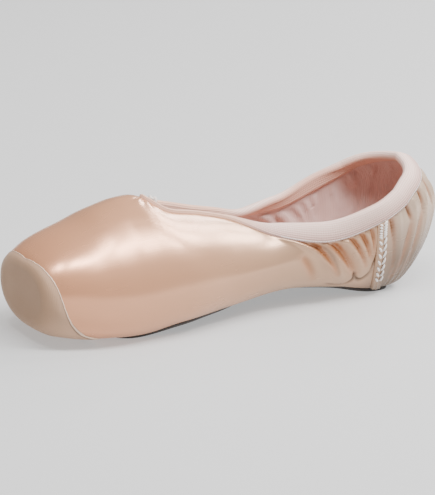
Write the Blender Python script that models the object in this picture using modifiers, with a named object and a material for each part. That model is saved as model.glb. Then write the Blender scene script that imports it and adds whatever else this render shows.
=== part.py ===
"""A pointe shoe: satin upper over a stiff toe box, platform patch, outsole, insole,
collar binding, side seam tapes and the knotted ends of its drawstring.

The toe points along -Y, the heel along +Y, and the shoe stands on z = 0 with its length
centred on the origin. It is made straight, so each side mirrors the other.
"""

import math

import bmesh
import bpy
import numpy as np
from mathutils import Vector
from mathutils.bvhtree import BVHTree

MM = 0.001

# Driving sizes of the last
LENGTH = 243 * MM           # top of the platform to the back of the heel
BALL_WIDTH = 75 * MM        # widest, across the ball of the foot
CROWN_HEIGHT = 66 * MM       # floor to the vamp's crest in front of the throat
HEEL_HEIGHT = 66.5 * MM      # floor to the collar's edge at the back
HEEL_DEPTH = 38 * MM        # centre of the heel cup to its back
HEEL_MOUTH = 18 * MM        # centre of the heel cup to the collar's edge at the back
TOE_SPRING = 7.5 * MM        # rise of the platform's lower edge over the tread
ARCH_RISE = 8 * MM          # rise of the waist over the tread
PLATFORM_LEAN = 2.4 * MM     # how far the platform's top stands in front of its foot
PLATFORM_EDGE = 5 * MM      # rounding between the platform and the sides
LEAN_REACH = 0.12           # share of the length over which the lean dies out
THROAT_RADIUS = 4 * MM      # rounding at the point of the throat

# Walls, layers and the clearance between them
GAP = 0.3 * MM
SATIN_GAP = 0.45 * MM       # between the satin and the binding's outside leg
LINING_GAP = 0.6 * MM       # between the lining and the binding's inside leg
BOX_WALL = 2.6 * MM         # cloth and paste of the toe box
QUARTER_WALL = 1.3 * MM     # satin and lining behind the box
BOX_BACK = 0.20             # share of the length where the box's wall starts to thin
QUARTER_FRONT = 0.38        # share of the length where it is down to the quarters'
PATCH_THICKNESS = 0.8 * MM
SOLE_THICKNESS = 1.8 * MM
INSOLE_THICKNESS = 2.2 * MM
TAPE_THICKNESS = 0.9 * MM
SEAM_THICKNESS = 0.9 * MM

# Platform patch
PATCH_REACH = 35 * MM       # from the flat of the platform back under the toe
PATCH_BEND = 6.5 * MM       # way over the platform's rounding
BEND_SHARE = 0.62           # largest share of the patch's run that is bent

# Outsole and insole
SOLE_WIDTH = 54 * MM        # widest, under the ball
SOLE_HEEL_DEPTH = 10.5 * MM   # centre of the heel cup to the outsole's end
TURN_HEEL_DEPTH = 15 * MM   # centre of the heel cup to where the satin turns up behind
SOLE_TIP_ROUND = 16 * MM    # length of the rounded front of the outsole
SOLE_LAP = 6 * MM           # satin folded in between outsole and insole
INSOLE_INSET = 1.5 * MM     # insole edge inside the line where the satin turns up
SOLE_TIP = 0.155            # share of the length at the outsole's front
SOLE_END_SQUARE = 2.6       # how square the outsole's end is

# Binding, seam tapes and drawstring
TAPE_OUTSIDE = 9 * MM       # width of the binding on the satin
TAPE_INSIDE = 6 * MM        # width of the binding on the lining
TAPE_CROWN = 0.5 * MM       # room for the drawstring over the wall's edge
SEAM_WIDTH = 6.5 * MM
CORD_RADIUS = 0.8 * MM
KNOT_SIZE = (6.4 * MM, 4.4 * MM, 3.8 * MM)
KNOT_PLACE = (0, 5.8 * MM, -1.9 * MM)   # from the throat's point
CORD_START = 7.5 * MM       # from the throat's point to where an end leaves the knot
CORD_END = 39 * MM          # from the throat's point to the tip of an end
CORD_FIRST = 0.8 * MM       # an end's distance from the collar's edge beside the knot
CORD_INSET = 4.5 * MM       # and at its tip

# Sections from the toe to the back of the heel, each a rib from the sole's edge over the
# widest place to the crown or the collar: where the satin turns up and the widest place, in
# shares of half the ball width, the widest place's height in shares of the crown's, and how
# square the lower and the upper curve is.
SECTION_COLUMNS = ("along", "turn", "width", "belly", "low", "high")
SECTIONS = (
    (0.00, 0.00, 0.585, 0.382, 2.20, 2.25),
    (0.05, 0.10, 0.775, 0.378, 2.40, 2.20),
    (0.13, 0.32, 0.930, 0.360, 2.75, 1.90),
    (0.20, 0.54, 0.985, 0.368, 2.40, 1.66),
    (0.24, 0.60, 0.995, 0.380, 2.10, 1.62),
    (0.32, 0.64, 0.980, 0.386, 2.10, 1.74),
    (0.45, 0.53, 0.825, 0.395, 1.95, 1.60),
    (0.60, 0.41, 0.705, 0.420, 2.00, 1.52),
    (0.73, 0.40, 0.730, 0.450, 1.95, 1.52),
    (0.84, 0.40, 0.772, 0.590, 1.60, 1.52),
    (1.00, 0.40, 0.770, 0.665, 1.35, 1.70),
)

# The crown from the toe to just behind the throat's point, in shares of its height.
CROWN_COLUMNS = ("along", "height")
CROWN = (
    (0.00, 0.620),
    (0.05, 0.732),
    (0.13, 0.860),
    (0.17, 0.932),
    (0.20, 0.970),
    (0.225, 0.993),
    (0.25, 1.000),
    (0.29, 0.965),
)

# The line under the shoe, in shares of the toe spring and of the arch rise.
TREAD_COLUMNS = ("along", "spring", "arch")
TREAD = (
    (0.00, 1.00, 0.00),
    (0.05, 0.24, 0.00),
    (0.13, 0.00, 0.00),
    (0.22, 0.00, 0.00),
    (0.32, 0.00, 0.46),
    (0.45, 0.00, 0.71),
    (0.60, 0.00, 1.00),
    (0.73, 0.00, 0.58),
    (0.84, 0.00, 0.00),
    (1.00, 0.00, 0.00),
)

# The collar behind the throat, in shares of half the ball width and of the heel's height.
COLLAR_COLUMNS = ("along", "gap", "height")
COLLAR = (
    (0.32, 0.11, 0.887),
    (0.38, 0.13, 0.826),
    (0.47, 0.165, 0.746),
    (0.57, 0.35, 0.657),
    (0.67, 0.61, 0.660),
    (0.79, 0.75, 0.766),
    (0.89, 0.60, 0.917),
    (1.00, 0.60, 0.998),
)
THROAT = 0.283              # share of the length at the point of the throat

# The outsole's outline, in shares of half its width.
OUTLINE_COLUMNS = ("along", "half")
OUTLINE = (
    (0.155, 0.84),
    (0.20, 0.92),
    (0.29, 1.00),
    (0.42, 0.78),
    (0.56, 0.44),
    (0.70, 0.42),
    (0.79, 0.53),
    (0.85, 0.56),
    (1.00, 0.56),
)

# Width of the binding's outside leg, in shares of its full width: near the throat most of
# the tape lies inside.
LEG_COLUMNS = ("along", "width")
LEG = (
    (0.283, 0.10),
    (0.44, 0.13),
    (0.52, 0.50),
    (0.60, 0.93),
    (0.68, 1.00),
    (1.00, 1.00),
)

# How far the patch runs beyond the flat of the platform, by the share of the way round it
# from bottom to top, in shares of the patch's reach.
PATCH_COLUMNS = ("round", "over")
PATCH = (
    (0.00, 1.00),
    (0.22, 0.93),
    (0.31, 0.62),
    (0.41, 0.38),
    (0.52, 0.25),
    (0.66, 0.19),
    (0.82, 0.15),
    (1.00, 0.11),
)

# The middle line of a side seam, from the binding down to the sole.
SEAM_COLUMNS = ("down", "along")
SEAM = (
    (0.00, 0.804),
    (0.30, 0.804),
    (0.60, 0.810),
    (0.85, 0.821),
    (1.00, 0.830),
)

# How finely the surfaces are cut
MIDDLE = 0.12 * MM          # what is nearer the mirror's plane lies in it
LOW_STEPS = 8               # faces up each rib from the sole to the belly
HIGH_STEPS = 9              # faces from the belly to the collar
FLAT_SHARE = 0.1            # share of a rib that lies flat under the insole
BELLY_SHARE = 0.5           # share of a rib at its widest place
TAPE_LINES = (0, 0.12, 0.5, 1)  # lines over the binding's legs, from its fold
SEAM_END_SHARE = 0.16       # share of a rib where a side seam ends

# Colours and roughness
SATIN = ((0.83, 0.61, 0.46), 0.35)
PATCH_SATIN = ((0.52, 0.36, 0.26), 0.5)
TAPE = ((0.80, 0.62, 0.56), 0.7)
LINING = ((0.72, 0.45, 0.38), 0.8)
SUEDE = ((0.045, 0.040, 0.038), 0.9)
CORD = ((0.85, 0.74, 0.68), 0.7)


def smooth(rows, x):
    """Curves without overshoot through a table: its columns at x, last axis a column."""
    table = np.asarray(rows, float)
    knots, values = table[:, 0], table[:, 1:]
    step = np.diff(knots)[:, None]
    rise = np.diff(values, axis=0) / step
    before, after = rise[:-1], rise[1:]
    near, far = 2 * step[1:] + step[:-1], step[1:] + 2 * step[:-1]
    turns = before * after <= 0
    mean = near / np.where(turns, 1, before) + far / np.where(turns, 1, after)
    inner = np.where(turns, 0, (near + far) / np.where(turns, 1, mean))
    slope = np.concatenate([rise[:1], inner, rise[-1:]])
    x = np.clip(np.asarray(x, float), knots[0], knots[-1])
    i = np.clip(np.searchsorted(knots, x) - 1, 0, len(knots) - 2)
    width = step[i]
    t = (x - knots[i])[..., None] / width
    return (
        (1 + 2 * t) * (1 - t) ** 2 * values[i]
        + t * (1 - t) ** 2 * width * slope[i]
        + t * t * (3 - 2 * t) * values[i + 1]
        + t * t * (t - 1) * width * slope[i + 1]
    )


def columns(rows, names, x):
    """A table's columns at x, by name."""
    found = smooth(rows, x)
    return {name: found[..., k] for k, name in enumerate(names[1:])}


FLOOR = SOLE_THICKNESS + GAP
TOE_LAYER = GAP + PATCH_THICKNESS
TOE_START = TOE_LAYER / LENGTH
BODY_START = (TOE_LAYER + PLATFORM_EDGE) / LENGTH
HEEL_START = 1 - HEEL_DEPTH / LENGTH


def floor_height(along):
    """Height of the upper's underside over the floor."""
    tread = columns(TREAD, TREAD_COLUMNS, along)
    return FLOOR + TOE_SPRING * tread["spring"] + ARCH_RISE * tread["arch"]


def wall_at(along):
    """Thickness of the upper's wall: the box's in front, the quarters' behind."""
    share = np.clip((np.asarray(along, float) - BOX_BACK) / (QUARTER_FRONT - BOX_BACK), 0, 1)
    return BOX_WALL + (QUARTER_WALL - BOX_WALL) * share * share * (3 - 2 * share)


def heel_turn(along):
    """Angle round the centre of the heel cup, zero in front of it."""
    share = np.clip((np.asarray(along, float) - HEEL_START) / (1 - HEEL_START), 0, 1)
    return share * math.pi / 2


def sole_half(along, inset):
    """Half width of the outsole's outline, moved in by inset."""
    half = columns(OUTLINE, OUTLINE_COLUMNS, along)["half"] * SOLE_WIDTH / 2 - inset
    from_tip = (along - SOLE_TIP) * LENGTH - inset
    short = np.clip(1 - from_tip / SOLE_TIP_ROUND, 0, 1)
    return np.where(from_tip > 0, half * np.sqrt(1 - short**2), 0)


def collar_at(along):
    """Centre line, half gap and height of the collar, or of the crown before the throat.

    The vamp's surface runs on smoothly over the centre line, and the collar cuts it at
    the half gap, which opens from the throat's point as a rounded V.
    """
    crown = columns(CROWN, CROWN_COLUMNS, along)["height"] * CROWN_HEIGHT
    point = columns(CROWN, CROWN_COLUMNS, THROAT)["height"] * CROWN_HEIGHT / HEEL_HEIGHT
    slope = float(point - columns(CROWN, CROWN_COLUMNS, THROAT - 0.01)["height"]
                  * CROWN_HEIGHT / HEEL_HEIGHT)
    rows = ((THROAT - 0.01, 0.0, float(point) - slope), (THROAT, 0.0, float(point))) + COLLAR
    found = columns(rows, COLLAR_COLUMNS, along)
    behind = np.clip(along - THROAT, 0, 1) * LENGTH
    rounding = np.clip(1 - behind / (8 * THROAT_RADIUS), 0, 1) ** 2
    centre = np.where(behind > 0, found["gap"] * BALL_WIDTH / 2, 0)
    gap = np.sqrt(centre**2 + 2 * THROAT_RADIUS * behind * rounding)
    return centre, gap, np.where(behind > 0, found["height"] * HEEL_HEIGHT, crown)


def rib(along, share):
    """Points on the upper's outside, by place along the shoe and share of the way up.

    A rib runs flat from its edge under the insole to where the satin turns, then up a
    quarter of a squared circle to the widest place and up another to the crown or the
    collar's edge. Behind the heel cup's centre the ribs turn round it like a fan.
    """
    along, share = np.broadcast_arrays(np.asarray(along, float), np.asarray(share, float))
    size = columns(SECTIONS, SECTION_COLUMNS, along)
    turn = heel_turn(along)
    straight = np.minimum(along, HEEL_START)
    under = floor_height(along)
    belly = size["belly"] * CROWN_HEIGHT
    wide = size["width"] * BALL_WIDTH / 2
    centre, gap, edge = collar_at(along)
    cut = np.arccos(np.clip((gap - centre) / (wide - centre), 0, 1) ** (size["high"] / 2))

    flat = np.clip(share / FLAT_SHARE, 0, 1)
    low = np.clip((share - FLAT_SHARE) / (BELLY_SHARE - FLAT_SHARE), 0, 1) * math.pi / 2
    high = np.clip((share - BELLY_SHARE) / (1 - BELLY_SHARE), 0, 1) * cut
    out_low = np.sin(low) ** (2 / size["low"])
    up_low = 1 - np.cos(low) ** (2 / size["low"])
    in_high = np.cos(high) ** (2 / size["high"])
    up_high = np.sin(high) ** (2 / size["high"])

    def reach(start, tucked, belly, top):
        below = start + (tucked - start) * flat + (belly - tucked) * out_low
        return np.where(share > BELLY_SHARE, top + (belly - top) * in_high, below)

    turned = size["turn"] * BALL_WIDTH / 2
    side = reach(np.minimum(sole_half(straight, SOLE_LAP), turned), turned, wide, centre)
    back = reach(SOLE_HEEL_DEPTH - SOLE_LAP, TURN_HEEL_DEPTH, HEEL_DEPTH, HEEL_MOUTH)
    above = belly + (edge - belly) * up_high
    height = np.where(share > BELLY_SHARE, above, under + (belly - under) * up_low)
    depth = np.clip((belly - height) / (belly - under), 0, 1)
    power = 1 + (2 / SOLE_END_SQUARE - 1) * depth
    x = side * np.cos(turn) ** power
    y = np.where(turn > 0, HEEL_START * LENGTH + back * np.sin(turn) ** power, along * LENGTH)
    return np.stack([x, y - LENGTH / 2, height], axis=-1)


def toe(reach, share):
    """Points on the toe: reach counts one over the flat of the platform, two to the end
    of its rounding, and then shares of the length along the ribs."""
    reach, share = np.broadcast_arrays(np.asarray(reach, float), np.asarray(share, float))
    corner = rib(TOE_START, share)
    foot, top = rib(TOE_START, 0.0)[2], rib(TOE_START, 1.0)[2]
    half_width = rib(TOE_START, BELLY_SHARE)[0]
    half_height = (top - foot) / 2
    centre = np.array([0, corner[..., 1].flat[0], foot + half_height])
    shrink = np.array([1 - PLATFORM_EDGE / half_width, 1, 1 - PLATFORM_EDGE / half_height])
    inner = centre + (corner - centre) * shrink
    out = reach[..., None]
    flat = centre + (inner - centre) * np.clip(out, 0, 1)
    t = np.clip(out - 1, 0, 1)
    round_edge = (1 - t) ** 2 * inner + 2 * t * (1 - t) * corner + t * t * rib(BODY_START, share)
    body = rib(BODY_START + np.clip(reach - 2, 0, 1), share)
    found = np.where(out <= 1, flat, np.where(out < 2, round_edge, body))
    back = np.clip(1 - (found[..., 1] + LENGTH / 2) / (LEAN_REACH * LENGTH), 0, 1) ** 2
    found[..., 1] += PLATFORM_LEAN * (top - found[..., 2]) / (top - foot) * back
    return found


def material(name, finish):
    colour, roughness = finish
    made = bpy.data.materials.new(name)
    made.use_nodes = True
    shader = made.node_tree.nodes["Principled BSDF"]
    shader.inputs["Base Color"].default_value = (*colour, 1)
    shader.inputs["Roughness"].default_value = roughness
    shader.inputs["Metallic"].default_value = 0
    return made


def add_object(name, mesh, finish, collection):
    obj = bpy.data.objects.new(name, mesh)
    obj.data.materials.append(material(name, finish))
    collection.objects.link(obj)
    return obj


def add_mirror(obj):
    mirror = obj.modifiers.new("Both sides", "MIRROR")
    mirror.use_clip = True
    mirror.merge_threshold = 0.0001


def add_wall(obj, thickness):
    wall = obj.modifiers.new("Wall", "SOLIDIFY")
    wall.thickness = thickness
    wall.offset = -1
    wall.use_even_offset = True
    return wall


def sheet(name, points, raised=0.0, closed_across=False):
    """A mesh over a grid of points, with its doubles merged and each point then moved
    out by raised along the surface's normal; x = 0 stays in the mirror's plane."""
    rows, cols = points.shape[:2]
    points = np.where(np.abs(points) < [MIDDLE, 0, 0], points * [0, 1, 1], points)
    made = bmesh.new()
    corners = [made.verts.new(p) for p in points.reshape(-1, 3)]
    for i in range(rows - 1):
        for j in range(cols if closed_across else cols - 1):
            k = (j + 1) % cols
            quad = (i * cols + j, (i + 1) * cols + j, (i + 1) * cols + k, i * cols + k)
            made.faces.new([corners[c] for c in quad])
    bmesh.ops.remove_doubles(made, verts=made.verts, dist=0.02 * MM)
    bmesh.ops.dissolve_degenerate(made, edges=made.edges, dist=0.01 * MM)
    made.normal_update()
    normals = {}
    for vert in made.verts:
        if vert.co.x == 0:
            vert.normal.x = 0
        normals[vert] = vert.normal.normalized()
    for vert, normal in normals.items():
        vert.co += normal * raised
    mesh = bpy.data.meshes.new(name)
    made.to_mesh(mesh)
    made.free()
    mesh.shade_smooth()
    return mesh


def rows_up():
    """Shares of the rib at each line of the upper's mesh."""
    low = np.linspace(FLAT_SHARE, BELLY_SHARE, LOW_STEPS + 1)
    high = np.linspace(BELLY_SHARE, 1, HIGH_STEPS + 1)
    return np.concatenate([[0], low, high[1:]])


def collar_stations():
    """Places of the ribs that end at the collar: closer round the throat and the heel."""
    point = THROAT + np.array([0, 0.8, 2.2, 4.6, 8, 12.5]) * MM / LENGTH
    quarter = np.linspace(point[-1], HEEL_START, 20)[1:]
    heel = np.linspace(HEEL_START, 1, 9)[1:]
    return np.concatenate([point, quarter, heel])


def stations():
    """Places of all the upper's ribs behind the platform."""
    return np.concatenate([np.linspace(BODY_START, THROAT, 10)[:-1], collar_stations()])


def make_upper(collection):
    up = rows_up()
    toe_reach = np.array([0, 0.5, 1, 1.25, 1.5, 1.75])
    reach = np.concatenate([toe_reach, 2 + stations() - BODY_START])
    mesh = sheet("upper", toe(reach[:, None], up[None, :]))
    upper = add_object("upper", mesh, SATIN, collection)
    thick = upper.vertex_groups.new(name="Stiff box")
    for vert in mesh.vertices:
        along = vert.co.y / LENGTH + 0.5
        thick.add([vert.index], float(wall_at(along)) / BOX_WALL, "REPLACE")
    add_mirror(upper)
    wall = add_wall(upper, BOX_WALL)
    wall.vertex_group = thick.name
    wall.thickness_vertex_group = 0


def make_patch(collection):
    """The satin over the platform, laid on the upper and carried back under the toe."""
    up = rows_up()
    run = columns(PATCH, PATCH_COLUMNS, np.maximum(up, FLAT_SHARE))["over"] * PATCH_REACH
    bend = np.minimum(PATCH_BEND, BEND_SHARE * run)
    share = np.linspace(0, 1, 9)[:, None]
    out = np.where(share < 0.5, 2 * share * bend, bend + (2 * share - 1) * (run - bend))
    over = np.where(out < PATCH_BEND, 1 + out / PATCH_BEND, 2 + (out - PATCH_BEND) / LENGTH)
    flat = np.array([0, 0.5])[:, None] * np.ones_like(run)
    grid = toe(np.concatenate([flat, over]), up[None, :])
    mesh = sheet("toe_patch", grid, raised=TOE_LAYER)
    patch = add_object("toe_patch", mesh, PATCH_SATIN, collection)
    add_mirror(patch)
    add_wall(patch, PATCH_THICKNESS)


def slab_grid(half_width, tip, depth, height):
    """Top of a flat layer from its round front over the waist to its squared end: a grid
    from the edge to the middle of half of it, half_width(along) wide beyond the tip."""
    turn = np.linspace(0, math.pi / 2, 6)
    front = tip + SOLE_TIP_ROUND / LENGTH * (1 - np.cos(turn))
    along = np.concatenate([front, np.linspace(front[-1], HEEL_START, 20)[1:]])
    half = half_width(along)
    half[0] = 0
    side = np.stack([half, (along - 0.5) * LENGTH, height(along)], axis=-1)
    heel = np.linspace(0, math.pi / 2, 8)[1:]
    power = 2 / SOLE_END_SQUARE
    x = half[-1] * np.cos(heel) ** power
    x[-1] = 0
    y = (HEEL_START - 0.5) * LENGTH + depth * np.sin(heel) ** power
    edge = np.concatenate([side, np.stack([x, y, height(y / LENGTH + 0.5)], axis=-1)])
    across = np.array([1, 0.75, 0.4, 0])
    grid = edge[:, None, :] * np.ones((1, len(across), 1))
    grid[..., 0] *= across
    return grid


def make_outsole(collection):
    def half_width(along):
        return sole_half(along, 0)

    def top(along):
        return floor_height(along) - GAP

    grid = slab_grid(half_width, SOLE_TIP, SOLE_HEEL_DEPTH, top)
    outsole = add_object("outsole", sheet("outsole", grid), SUEDE, collection)
    add_mirror(outsole)
    add_wall(outsole, SOLE_THICKNESS)


def make_insole(collection):
    """A thin sole board on the satin's lap, just inside the line where it turns up."""
    tip = SOLE_TIP + INSOLE_INSET / LENGTH

    def half_width(along):
        turned = columns(SECTIONS, SECTION_COLUMNS, along)["turn"] * BALL_WIDTH / 2
        short = np.clip(1 - (along - tip) * LENGTH / SOLE_TIP_ROUND, 0, 1)
        return (turned - INSOLE_INSET) * np.sqrt(1 - short**2)

    def top(along):
        return floor_height(along) + wall_at(along) + GAP + INSOLE_THICKNESS

    grid = slab_grid(half_width, tip, TURN_HEEL_DEPTH - INSOLE_INSET, top)
    insole = add_object("insole", sheet("insole", grid), LINING, collection)
    add_mirror(insole)
    add_wall(insole, INSOLE_THICKNESS)


def surface_tree():
    """The upper's outside on both sides, for laying tapes on it: a tree that finds the
    nearest place, and the normal at each of its faces."""
    half = rib(np.linspace(BODY_START, 1, 180)[:, None], np.linspace(0, 1, 80)[None, :])
    out = np.cross(np.gradient(half, axis=0), np.gradient(half, axis=1))
    out[-1, :, 0] = 0
    out[half[..., 0] < 0.01 * MM, 0] = 0
    middle = out[1:, 1:] + out[1:, :-1] + out[:-1, 1:] + out[:-1, :-1]
    rows, cols = half.shape[:2]
    corners, faces, normals = [], [], []
    for side in (1, -1):
        first = len(corners)
        corners += [Vector(p) for p in (half * [side, 1, 1]).reshape(-1, 3)]
        normals += [Vector(n).normalized() for n in (middle * [side, 1, 1]).reshape(-1, 3)]
        for i in range(rows - 1):
            for j in range(cols - 1):
                a = first + i * cols + j
                faces.append((a, a + cols, a + cols + 1, a + 1))
    return BVHTree.FromPolygons(corners, faces), normals


def collar_line():
    """Points of the collar's edge from the throat to the back, with their directions."""
    edge = rib(collar_stations(), 1.0)
    forward = np.gradient(edge, axis=0)
    forward[0] = (1, 0, 0)
    forward[-1] = (-1, 0, 0)
    return edge, forward / np.linalg.norm(forward, axis=1)[:, None]


def laid_line(surface, start, ahead, distances):
    """Places and normals over the upper's outside, at distances from the collar's edge."""
    tree, normals = surface
    place, ahead = Vector(start), Vector(ahead)
    line = []
    for step in [*np.diff(distances), 0]:
        found, _, face, _ = tree.find_nearest(place)
        line.append((found, normals[face]))
        place = found + ahead.cross(normals[face]).normalized() * step
    return line


def under_wall(place, normal, depth):
    """The point depth below the lining's face at a place on the outside."""
    return place - normal * (float(wall_at(place.y / LENGTH + 0.5)) + depth)


def make_binding(collection):
    """The folded tape: its outside leg lies on the satin and its inside leg under the
    lining, and its fold passes over the wall's edge with room for the drawstring."""
    surface = surface_tree()
    rings = []
    legs = columns(LEG, LEG_COLUMNS, collar_stations())["width"] * TAPE_OUTSIDE
    for start, ahead, leg in zip(*collar_line(), legs):
        outside = laid_line(surface, start, ahead, leg * np.array(TAPE_LINES))
        inside = laid_line(surface, start, ahead, TAPE_INSIDE * np.array(TAPE_LINES))
        first, normal = outside[0]
        rise = -Vector(ahead).cross(normal).normalized()
        fold = GAP + TAPE_CROWN
        ring = [p + n * (SATIN_GAP + TAPE_THICKNESS) for p, n in reversed(outside)]
        ring += [first + rise * (fold + TAPE_THICKNESS)]
        ring += [under_wall(first, normal, 0) + rise * (fold + TAPE_THICKNESS)]
        ring += [under_wall(p, n, LINING_GAP + TAPE_THICKNESS) for p, n in inside]
        ring += [under_wall(p, n, LINING_GAP) for p, n in reversed(inside)]
        ring += [under_wall(first, normal, LINING_GAP) + rise * fold]
        ring += [first + normal * SATIN_GAP + rise * fold]
        ring += [p + n * SATIN_GAP for p, n in outside]
        rings.append([tuple(p) for p in ring])
    points = np.array(rings)
    points[0, :, 0] = points[-1, :, 0] = 0
    mesh = sheet("collar_binding", points, closed_across=True)
    add_mirror(add_object("collar_binding", mesh, TAPE, collection))


def share_below(along, drop):
    """Share of the rib that lies drop below the collar's edge, measured over the satin."""
    share = np.linspace(1, BELLY_SHARE, 80)
    down = rib(along, share)
    run = np.concatenate([[0], np.cumsum(np.linalg.norm(np.diff(down, axis=0), axis=1))])
    return np.interp(drop, run, share)


def make_seams(collection):
    """A tape down each side of the heel, from the binding to the sole."""
    down = np.linspace(0, 1, 10)
    middle = columns(SEAM, SEAM_COLUMNS, down)["along"]
    top = share_below(middle[0], TAPE_OUTSIDE + 3 * GAP)
    share = top + (SEAM_END_SHARE - top) * down
    small = 0.01
    run = np.linalg.norm(rib(middle + small, share) - rib(middle - small, share), axis=-1)
    half = SEAM_WIDTH / 2 / (run / (2 * small))
    across = np.linspace(-1, 1, 4)[:, None]
    along = middle + across * half
    top = np.array([share_below(a, TAPE_OUTSIDE + 3 * GAP) for a in along[:, 0]])[:, None]
    grid = rib(along, top + (SEAM_END_SHARE - top) * down)[:, ::-1]
    for name, side in (("side_seam_right", 1), ("side_seam_left", -1)):
        placed = (grid if side > 0 else grid[::-1]) * np.array([side, 1, 1])
        mesh = sheet(name, placed, raised=GAP + SEAM_THICKNESS)
        add_wall(add_object(name, mesh, SATIN, collection), SEAM_THICKNESS)


def make_knot(collection):
    place = Vector(rib(THROAT, 1.0)) + Vector(KNOT_PLACE)
    made = bmesh.new()
    bmesh.ops.create_uvsphere(made, u_segments=10, v_segments=7, radius=0.5)
    bmesh.ops.scale(made, vec=KNOT_SIZE, verts=made.verts)
    bmesh.ops.translate(made, vec=place, verts=made.verts)
    mesh = bpy.data.meshes.new("drawstring_knot")
    made.to_mesh(mesh)
    made.free()
    mesh.shade_smooth()
    add_object("drawstring_knot", mesh, CORD, collection)


def make_cords(collection):
    """The drawstring's two ends, tucked in behind the knot, on the binding's inside leg."""
    surface = surface_tree()
    edge = rib(THROAT + np.linspace(CORD_START, CORD_END, 13) / LENGTH, 1.0)
    ahead = np.gradient(edge, axis=0)
    ahead /= np.linalg.norm(ahead, axis=1)[:, None]
    insets = np.linspace(CORD_FIRST, CORD_INSET, len(edge))
    curve = []
    for start, forward, inset in zip(edge, ahead, insets):
        place, normal = laid_line(surface, start, forward, (0, inset))[-1]
        curve.append(under_wall(place, normal, LINING_GAP + TAPE_THICKNESS + GAP + CORD_RADIUS))
    for name, side in (("drawstring_end_right", 1), ("drawstring_end_left", -1)):
        data = bpy.data.curves.new(name, "CURVE")
        data.dimensions = "3D"
        data.bevel_depth = CORD_RADIUS
        data.bevel_resolution = 2
        data.use_fill_caps = True
        spline = data.splines.new("POLY")
        spline.points.add(len(curve) - 1)
        for point, place in zip(spline.points, curve):
            point.co = (side * place.x, place.y, place.z, 1)
        add_object(name, data, CORD, collection)


def build():
    for obj in list(bpy.data.objects):
        bpy.data.objects.remove(obj, do_unlink=True)
    shoe = bpy.data.collections.new("pointe_shoe")
    bpy.context.scene.collection.children.link(shoe)
    make_upper(shoe)
    make_patch(shoe)
    make_outsole(shoe)
    make_insole(shoe)
    make_binding(shoe)
    make_seams(shoe)
    make_knot(shoe)
    make_cords(shoe)


build()
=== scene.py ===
"""The looks of a pointe shoe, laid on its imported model: satin drawn into folds at the waist and
heel, a cloth lining, knitted binding with its loops, stitched side tapes, the worn platform,
suede sole, insole and the tied drawstring.

The toe points along -Y, the heel along +Y, the floor is z = 0, and lengths are in metres.
"""

import math

import bpy
import numpy as np
from mathutils import Matrix, Vector


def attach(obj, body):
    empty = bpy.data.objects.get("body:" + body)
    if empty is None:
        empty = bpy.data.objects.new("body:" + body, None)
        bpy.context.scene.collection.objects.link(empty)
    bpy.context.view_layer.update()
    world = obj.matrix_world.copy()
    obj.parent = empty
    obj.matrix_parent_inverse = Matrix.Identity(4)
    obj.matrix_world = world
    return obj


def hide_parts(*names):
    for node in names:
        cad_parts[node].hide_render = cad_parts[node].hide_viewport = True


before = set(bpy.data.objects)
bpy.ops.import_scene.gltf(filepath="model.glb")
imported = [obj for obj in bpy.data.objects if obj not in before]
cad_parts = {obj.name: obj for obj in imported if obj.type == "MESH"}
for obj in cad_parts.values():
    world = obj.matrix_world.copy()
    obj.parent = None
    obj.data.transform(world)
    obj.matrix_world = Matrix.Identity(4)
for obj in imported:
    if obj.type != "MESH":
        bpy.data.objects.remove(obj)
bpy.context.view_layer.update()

MM = 0.001

# The last's sizes and tables, as in the part's source
LENGTH, BALL_WIDTH = 243 * MM, 75 * MM
CROWN_HEIGHT, HEEL_HEIGHT = 66 * MM, 66.5 * MM
HEEL_DEPTH, HEEL_MOUTH = 38 * MM, 18 * MM
TOE_SPRING, ARCH_RISE = 7.5 * MM, 8 * MM
PLATFORM_LEAN, PLATFORM_EDGE, LEAN_REACH = 2.4 * MM, 5 * MM, 0.12
THROAT_RADIUS, THROAT = 4 * MM, 0.283
GAP, SATIN_GAP, LINING_GAP = 0.3 * MM, 0.45 * MM, 0.6 * MM
BOX_WALL, QUARTER_WALL, BOX_BACK, QUARTER_FRONT = 2.6 * MM, 1.3 * MM, 0.20, 0.38
PATCH_THICKNESS, SOLE_THICKNESS, INSOLE_THICKNESS = 0.8 * MM, 1.8 * MM, 2.2 * MM
TAPE_THICKNESS, SEAM_THICKNESS = 0.9 * MM, 0.9 * MM
PATCH_REACH, PATCH_BEND, BEND_SHARE = 35 * MM, 6.5 * MM, 0.62
SOLE_WIDTH, SOLE_HEEL_DEPTH, TURN_HEEL_DEPTH = 54 * MM, 10.5 * MM, 15 * MM
SOLE_TIP, SOLE_TIP_ROUND, SOLE_LAP = 0.155, 16 * MM, 6 * MM
INSOLE_INSET, SOLE_END_SQUARE = 1.5 * MM, 2.6
TAPE_OUTSIDE, TAPE_INSIDE, TAPE_CROWN = 9 * MM, 6 * MM, 0.5 * MM
SEAM_WIDTH, CORD_RADIUS = 6.5 * MM, 0.8 * MM
KNOT_SIZE, KNOT_PLACE = (6.4 * MM, 4.4 * MM, 3.8 * MM), (0, 5.8 * MM, -1.9 * MM)
CORD_START, CORD_END, CORD_FIRST, CORD_INSET = 7.5 * MM, 39 * MM, 0.8 * MM, 4.5 * MM
FLAT_SHARE, BELLY_SHARE, SEAM_END_SHARE = 0.1, 0.5, 0.16

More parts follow.
